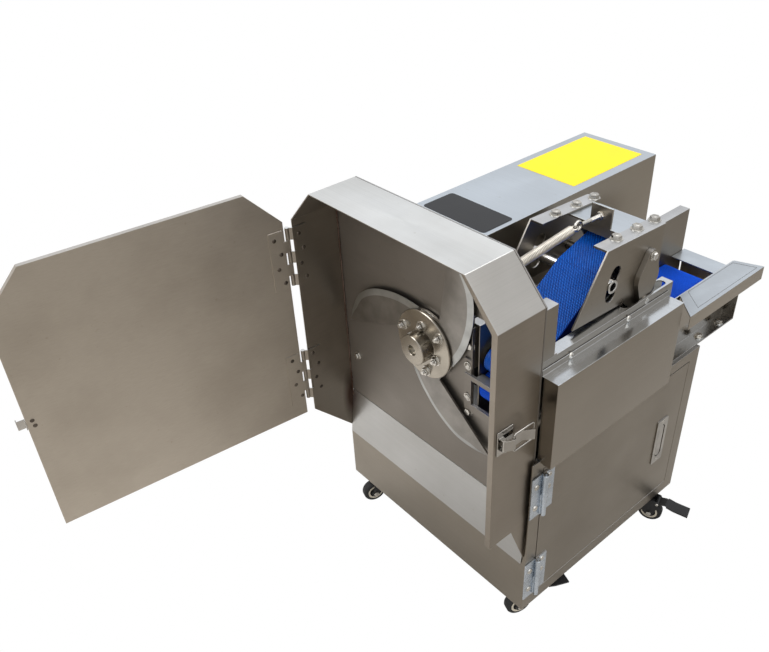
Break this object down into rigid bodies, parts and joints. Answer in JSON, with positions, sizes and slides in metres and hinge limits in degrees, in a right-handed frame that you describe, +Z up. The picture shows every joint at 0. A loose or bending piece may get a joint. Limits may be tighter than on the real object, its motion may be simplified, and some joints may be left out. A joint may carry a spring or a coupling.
{
  "type": "vegetable cutting machine",
  "caption": "Belt-fed leaf vegetable cutter: two blue feed belts, sickle blades on a disc hub, hinged chamber door, cabinet on castors.",
  "frame": {"origin": "middle of the footprint of the whole machine, door open, on the floor under the castors", "axes": "+Z up, +X to the machine's right seen from the knife chamber, +Y back along the infeed belt"},
  "size_m": [0.5416, 1.0356, 0.6857],
  "materials": {
    "stainless": "brushed, lightly smudged",
    "pale_stainless": "brushed, bright",
    "polished_steel": "polished",
    "blade_steel": "satin with a ground edge",
    "zinc": "bright zinc plated",
    "spring_steel": "bright drawn wire",
    "blue_belt": "matt, textured",
    "black_rubber": "matt",
    "cast_grey": "painted",
    "black_steel": "semi-gloss black",
    "castor_tyre": "matt",
    "red_plastic": "gloss",
    "green_plastic": "gloss",
    "black_plastic": "matt"
  },
  "bodies": {
    "root": {"cabinet_shell": "stainless", "chamber_back_plate": "stainless", "knife_hood": "stainless", "discharge_chute": "pale_stainless", "shear_frame": "stainless", "control_box": "pale_stainless", "conveyor_side_right": "stainless", "infeed_wing_right": "stainless", "conveyor_side_left": "stainless", "infeed_end_plate": "pale_stainless", "side_cover": "stainless", "throat_guard": "stainless", "hood_hinge_upper": "zinc", "hood_hinge_lower": "zinc", "latch_base": "zinc", "cabinet_hinge_upper": "zinc", "cabinet_hinge_lower": "zinc", "lower_belt": "blue_belt", "knife_spindle_housing": "cast_grey", "knife_motor": "cast_grey", "knife_drive_belt": "black_rubber", "feed_gearmotor": "cast_grey", "tension_spring": "spring_steel"},
    "knife_rotor": {"hub_flange": "polished_steel", "blade_1": "blade_steel", "blade_2": "blade_steel", "blade_3": "blade_steel", "knife_shaft": "stainless", "knife_pulley": "cast_grey"},
    "motor_rotor": {"motor_pulley": "cast_grey"},
    "lower_tail_roller": {"lower_drive_roller": "stainless"},
    "lower_nose_roller": {"lower_nose_roller": "stainless"},
    "press_unit": {"press_side_plate_left": "stainless", "press_side_plate_right": "stainless", "press_frame": "pale_stainless", "tension_tube": "polished_steel", "press_belt": "blue_belt", "spring_eye_bolt": "polished_steel", "press_bearing_right": "stainless"},
    "press_drive": {"press_drive_roller": "stainless"},
    "press_nose": {"press_nose_roller": "stainless"},
    "chamber_door": {"chamber_door": "stainless", "door_strike": "zinc"},
    "latch_lever": {"latch_lever": "zinc"},
    "latch_bail": {"latch_bail": "zinc"},
    "cabinet_door": {"cabinet_door": "stainless"},
    "lock_handle": {"door_lock_handle": "black_steel"},
    "castor_front_right": {"castor_fork_front_right": "black_steel"},
    "wheel_front_right": {"castor_wheel_front_right": "castor_tyre"},
    "castor_front_left": {"castor_fork_front_left": "black_steel"},
    "wheel_front_left": {"castor_wheel_front_left": "castor_tyre"},
    "castor_rear_right": {"castor_fork_rear_right": "black_steel"},
    "wheel_rear_right": {"castor_wheel_rear_right": "castor_tyre"},
    "castor_rear_left": {"castor_fork_rear_left": "black_steel"},
    "wheel_rear_left": {"castor_wheel_rear_left": "castor_tyre"},
    "brake_front_right": {"brake_pedal_front_right": "black_steel"},
    "brake_rear_right": {"brake_pedal_rear_right": "black_steel"},
    "stop_button": {"stop_button": "red_plastic"},
    "start_button": {"start_button": "green_plastic"},
    "speed_knob": {"speed_knob": "black_plastic"}
  },
  "joints": [
    {"name": "knife_spin", "type": "hinge", "parent": "root", "child": "knife_rotor", "pos_m": [-0.0047, -0.01418, 0.47223], "axis": [0, 1, 0], "continuous": true},
    {"name": "motor_spin", "type": "hinge", "parent": "root", "child": "motor_rotor", "pos_m": [-0.0027, 0.08782, 0.19973], "axis": [0, 1, 0], "continuous": true},
    {"name": "press_drive_spin", "type": "hinge", "parent": "root", "child": "press_drive", "pos_m": [0.1343, 0.24182, 0.56773], "axis": [1, 0, 0], "continuous": true},
    {"name": "lower_drive_spin", "type": "hinge", "parent": "root", "child": "lower_tail_roller", "pos_m": [0.1343, 0.45282, 0.43573], "axis": [1, 0, 0], "continuous": true},
    {"name": "lower_nose_spin", "type": "hinge", "parent": "root", "child": "lower_nose_roller", "pos_m": [0.1343, 0.03682, 0.43573], "axis": [1, 0, 0], "continuous": true},
    {"name": "press_swing", "type": "hinge", "parent": "root", "child": "press_unit", "pos_m": [0.1343, 0.24182, 0.56773], "axis": [1, 0, 0], "range_deg": [-11, 0], "stiffness_Nm_per_rad": 3.5, "springref_deg": 22.92, "deforming": ["tension_spring"]},
    {"name": "press_nose_spin", "type": "hinge", "parent": "press_unit", "child": "press_nose", "pos_m": [0.1343, 0.03478, 0.48428], "axis": [1, 0, 0], "continuous": true},
    {"name": "chamber_door_hinge", "type": "hinge", "parent": "root", "child": "chamber_door", "pos_m": [-0.2187, -0.08118, 0.46973], "axis": [0, 0, 1], "range_deg": [-84, 95.5]},
    {"name": "latch_lever_hinge", "type": "hinge", "parent": "root", "child": "latch_lever", "pos_m": [0.2118, -0.06218, 0.45473], "axis": [0, 0, 1], "range_deg": [-140, 0]},
    {"name": "latch_bail_hinge", "type": "hinge", "parent": "latch_lever", "child": "latch_bail", "pos_m": [0.2168, -0.05018, 0.45473], "axis": [0, 0, -1], "range_deg": [0, 180]},
    {"name": "cabinet_door_hinge", "type": "hinge", "parent": "root", "child": "cabinet_door", "pos_m": [0.2163, 0.02382, 0.21473], "axis": [0, 0, 1], "range_deg": [-110, 0]},
    {"name": "lock_handle_hinge", "type": "hinge", "parent": "cabinet_door", "child": "lock_handle", "pos_m": [0.2083, 0.33382, 0.18773], "axis": [0, 1, 0], "range_deg": [0, 45]},
    {"name": "swivel_front_right", "type": "hinge", "parent": "root", "child": "castor_front_right", "pos_m": [0.1838, 0.05082, 0.05973], "axis": [0, 0, 1], "continuous": true},
    {"name": "wheel_spin_front_right", "type": "hinge", "parent": "castor_front_right", "child": "wheel_front_right", "pos_m": [0.17627, 0.03015, 0.02173], "axis": [0.9397, -0.342, 0], "continuous": true},
    {"name": "brake_front_right", "type": "hinge", "parent": "castor_front_right", "child": "brake_front_right", "pos_m": [0.18824, 0.06303, 0.04723], "axis": [-0.9397, 0.342, 0], "range_deg": [0, 20]},
    {"name": "swivel_front_left", "type": "hinge", "parent": "root", "child": "castor_front_left", "pos_m": [-0.1757, 0.03682, 0.05973], "axis": [0, 0, 1], "continuous": true},
    {"name": "wheel_spin_front_left", "type": "hinge", "parent": "castor_front_left", "child": "wheel_front_left", "pos_m": [-0.18213, 0.01578, 0.02173], "axis": [0.9563, -0.2924, 0], "continuous": true},
    {"name": "swivel_rear_right", "type": "hinge", "parent": "root", "child": "castor_rear_right", "pos_m": [0.1838, 0.35582, 0.05973], "axis": [0, 0, 1], "continuous": true},
    {"name": "wheel_spin_rear_right", "type": "hinge", "parent": "castor_rear_right", "child": "wheel_rear_right", "pos_m": [0.20447, 0.36334, 0.02173], "axis": [-0.342, 0.9397, 0], "continuous": true},
    {"name": "brake_rear_right", "type": "hinge", "parent": "castor_rear_right", "child": "brake_rear_right", "pos_m": [0.21481, 0.36711, 0.04723], "axis": [-0.342, 0.9397, 0], "range_deg": [0, 20]},
    {"name": "swivel_rear_left", "type": "hinge", "parent": "root", "child": "castor_rear_left", "pos_m": [-0.1757, 0.36782, 0.05973], "axis": [0, 0, 1], "continuous": true},
    {"name": "wheel_spin_rear_left", "type": "hinge", "parent": "castor_rear_left", "child": "wheel_rear_left", "pos_m": [-0.19436, 0.37948, 0.02173], "axis": [-0.5299, -0.848, 0], "continuous": true},
    {"name": "stop_button_press", "type": "slide", "parent": "root", "child": "stop_button", "axis": [1, 0, 0], "range_m": [0, 0.005], "stiffness_N_per_m": 500, "springref_m": -0.004},
    {"name": "start_button_press", "type": "slide", "parent": "root", "child": "start_button", "axis": [1, 0, 0], "range_m": [0, 0.003], "stiffness_N_per_m": 500, "springref_m": -0.003},
    {"name": "speed_knob_turn", "type": "hinge", "parent": "root", "child": "speed_knob", "pos_m": [-0.1357, 0.22982, 0.51473], "axis": [1, 0, 0], "range_deg": [0, 270]}
  ],
  "couplings": [
    {"joint": "motor_spin", "follows": "knife_spin", "ratio": 1.2614},
    {"joint": "lower_drive_spin", "follows": "press_drive_spin", "ratio": -2.03},
    {"joint": "lower_nose_spin", "follows": "press_drive_spin", "ratio": -2.03},
    {"joint": "press_nose_spin", "follows": "press_drive_spin", "ratio": 2.5847}
  ]
}
